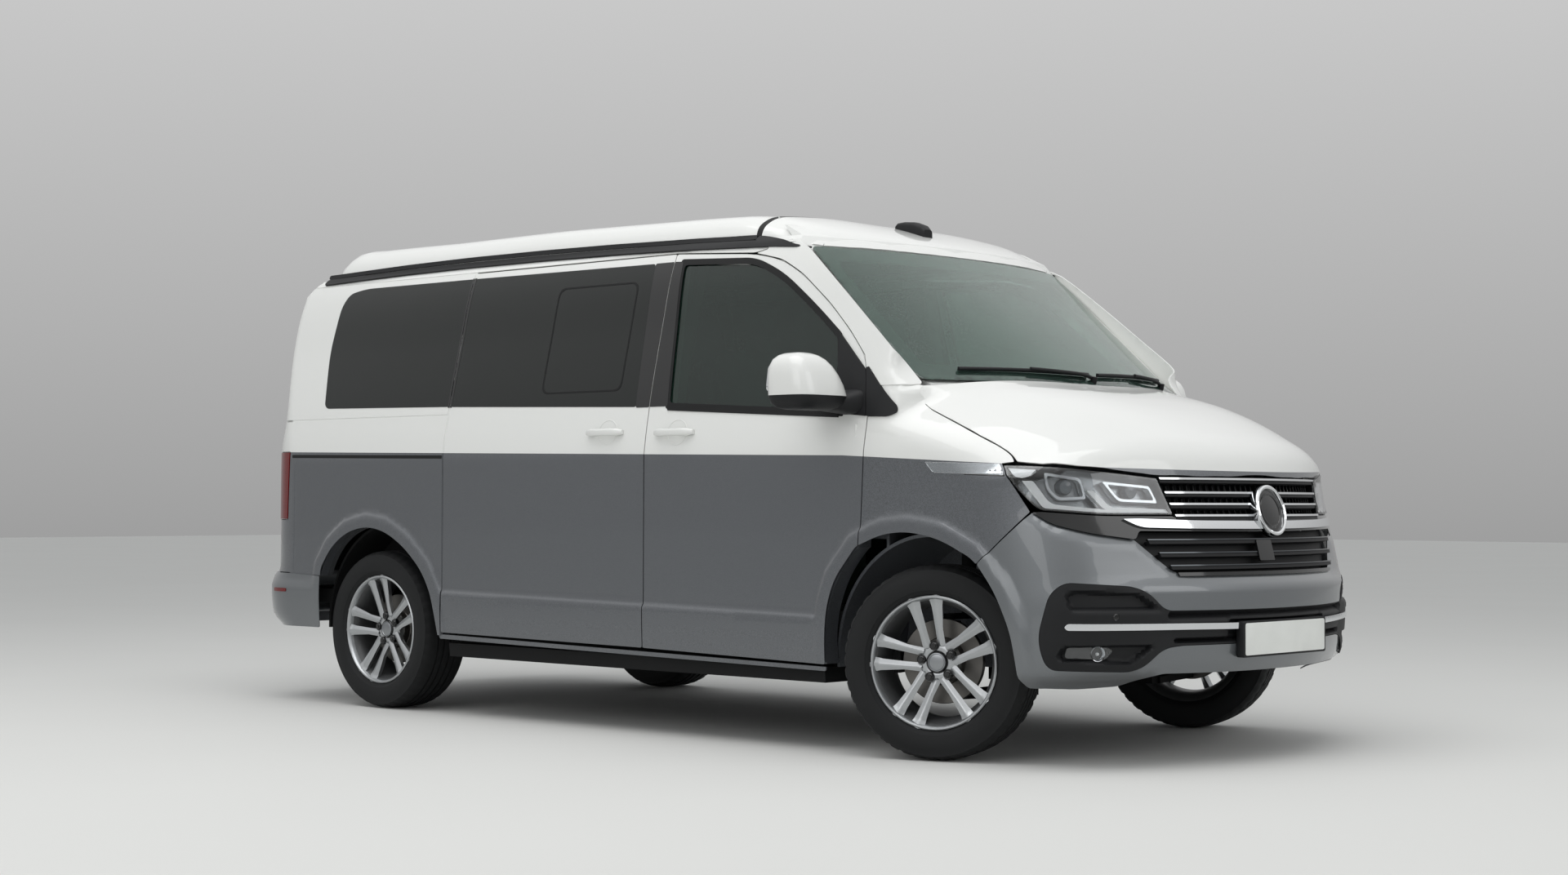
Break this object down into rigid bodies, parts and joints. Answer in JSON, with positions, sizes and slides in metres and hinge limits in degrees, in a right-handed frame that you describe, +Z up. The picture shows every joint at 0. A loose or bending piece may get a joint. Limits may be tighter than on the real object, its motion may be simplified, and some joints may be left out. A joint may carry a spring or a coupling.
{
  "type": "camper van",
  "caption": "Mid-size camper van with a rear-hinged pop-up roof, opening front doors, bonnet and tailgate, steered front wheels and a furnished cabin.",
  "frame": {"origin": "on the ground at mid-length on the centre plane", "axes": "+X forward, +Y to the left side, +Z up"},
  "size_m": [4.898, 2.4336, 2.008],
  "materials": {
    "paint": "two-tone body paint: white above, metallic grey below",
    "roof_paint": "gloss white paint",
    "bumper_paint": "metallic grey paint",
    "clear_glass": "clear tinted glass",
    "dark_glass": "dark privacy glass",
    "mirror_shell": "painted plastic",
    "black_trim": "moulded black plastic",
    "grille": "chromed plastic bars",
    "lamp_lens": "clear polycarbonate",
    "red_lens": "red lens",
    "underbody": "black underbody coating",
    "dash_plastic": "grained soft plastic",
    "seat_cloth": "woven upholstery",
    "furniture": "laminated board",
    "cast_metal": "cast alloy",
    "tank_plastic": "blow-moulded plastic",
    "exhaust_steel": "aluminised steel",
    "chassis_steel": "black cast iron",
    "canvas": "coated tent cloth",
    "tyre": "rubber",
    "alloy": "silver lacquered alloy"
  },
  "bodies": {
    "body": {"front_wings": "paint", "side_wall_right": "paint", "side_wall_left": "paint", "sliding_door": "paint", "side_glass": "dark_glass", "cab_frame": "paint", "roof_frame": "roof_paint", "roof_tent": "canvas", "roof_rails": "black_trim", "windscreen": "clear_glass", "front_bumper": "bumper_paint", "lower_grille": "black_trim", "upper_grille": "grille", "headlamps": "lamp_lens", "tail_lamps": "red_lens", "rear_bumper": "bumper_paint", "floor_pan": "underbody", "dashboard": "dash_plastic", "steering_wheel": "dash_plastic", "cab_seats": "seat_cloth", "rear_bench": "seat_cloth", "kitchen_unit": "furniture", "engine_block": "cast_metal", "fuel_tank": "tank_plastic", "exhaust": "exhaust_steel", "front_subframe": "chassis_steel", "rear_axle": "chassis_steel"},
    "door_right": {"door_right": "paint", "door_glass_right": "clear_glass", "mirror_right": "mirror_shell"},
    "door_left": {"door_left": "paint", "door_glass_left": "clear_glass", "mirror_left": "mirror_shell"},
    "tailgate": {"tailgate": "paint", "tailgate_glass": "dark_glass"},
    "bonnet": {"bonnet": "paint"},
    "pop_roof": {"roof_shell": "roof_paint"},
    "knuckle_right": {"knuckle_right": "chassis_steel"},
    "knuckle_left": {"knuckle_left": "chassis_steel"},
    "wheel_front_left": {"tyre_front_left": "tyre", "rim_front_left": "alloy"},
    "wheel_front_right": {"tyre_front_right": "tyre", "rim_front_right": "alloy"},
    "wheel_rear_left": {"tyre_rear_left": "tyre", "rim_rear_left": "alloy"},
    "wheel_rear_right": {"tyre_rear_right": "tyre", "rim_rear_right": "alloy"}
  },
  "joints": [
    {"name": "door_right_hinge", "type": "hinge", "parent": "body", "child": "door_right", "pos_m": [1.275, -0.94, 0.97], "axis": [0, 0, 1], "range_deg": [0, 70]},
    {"name": "door_left_hinge", "type": "hinge", "parent": "body", "child": "door_left", "pos_m": [1.275, 0.94, 0.97], "axis": [0, 0, -1], "range_deg": [0, 70]},
    {"name": "tailgate_hinge", "type": "hinge", "parent": "body", "child": "tailgate", "pos_m": [-2.19, 0, 1.842], "axis": [0, 1, 0], "range_deg": [0, 85]},
    {"name": "bonnet_hinge", "type": "hinge", "parent": "body", "child": "bonnet", "pos_m": [1.395, 0, 1.335], "axis": [0, -1, 0], "range_deg": [0, 50]},
    {"name": "pop_roof_hinge", "type": "hinge", "parent": "body", "child": "pop_roof", "pos_m": [-2.058, 0, 1.89], "axis": [0, -1, 0], "range_deg": [0, 20], "deforming": ["roof_tent"]},
    {"name": "steer_right", "type": "hinge", "parent": "body", "child": "knuckle_right", "pos_m": [1.544, -0.75, 0.338], "axis": [0, 0, 1], "range_deg": [-54, 15.9]},
    {"name": "steer_left", "type": "hinge", "parent": "body", "child": "knuckle_left", "pos_m": [1.544, 0.75, 0.338], "axis": [0, 0, 1], "range_deg": [-54, 15.9]},
    {"name": "wheel_front_right_spin", "type": "hinge", "parent": "knuckle_right", "child": "wheel_front_right", "pos_m": [1.5656, -0.81237, 0.338], "axis": [-0.3272, 0.9449, 0], "continuous": true},
    {"name": "wheel_front_left_spin", "type": "hinge", "parent": "knuckle_left", "child": "wheel_front_left", "pos_m": [1.5224, 0.81237, 0.338], "axis": [-0.3272, 0.9449, 0], "continuous": true},
    {"name": "wheel_rear_right_spin", "type": "hinge", "parent": "body", "child": "wheel_rear_right", "pos_m": [-1.456, -0.816, 0.338], "axis": [0, 1, 0], "continuous": true},
    {"name": "wheel_rear_left_spin", "type": "hinge", "parent": "body", "child": "wheel_rear_left", "pos_m": [-1.456, 0.816, 0.338], "axis": [0, 1, 0], "continuous": true}
  ],
  "couplings": [
    {"joint": "steer_left", "follows": "steer_right", "ratio": 1}
  ]
}
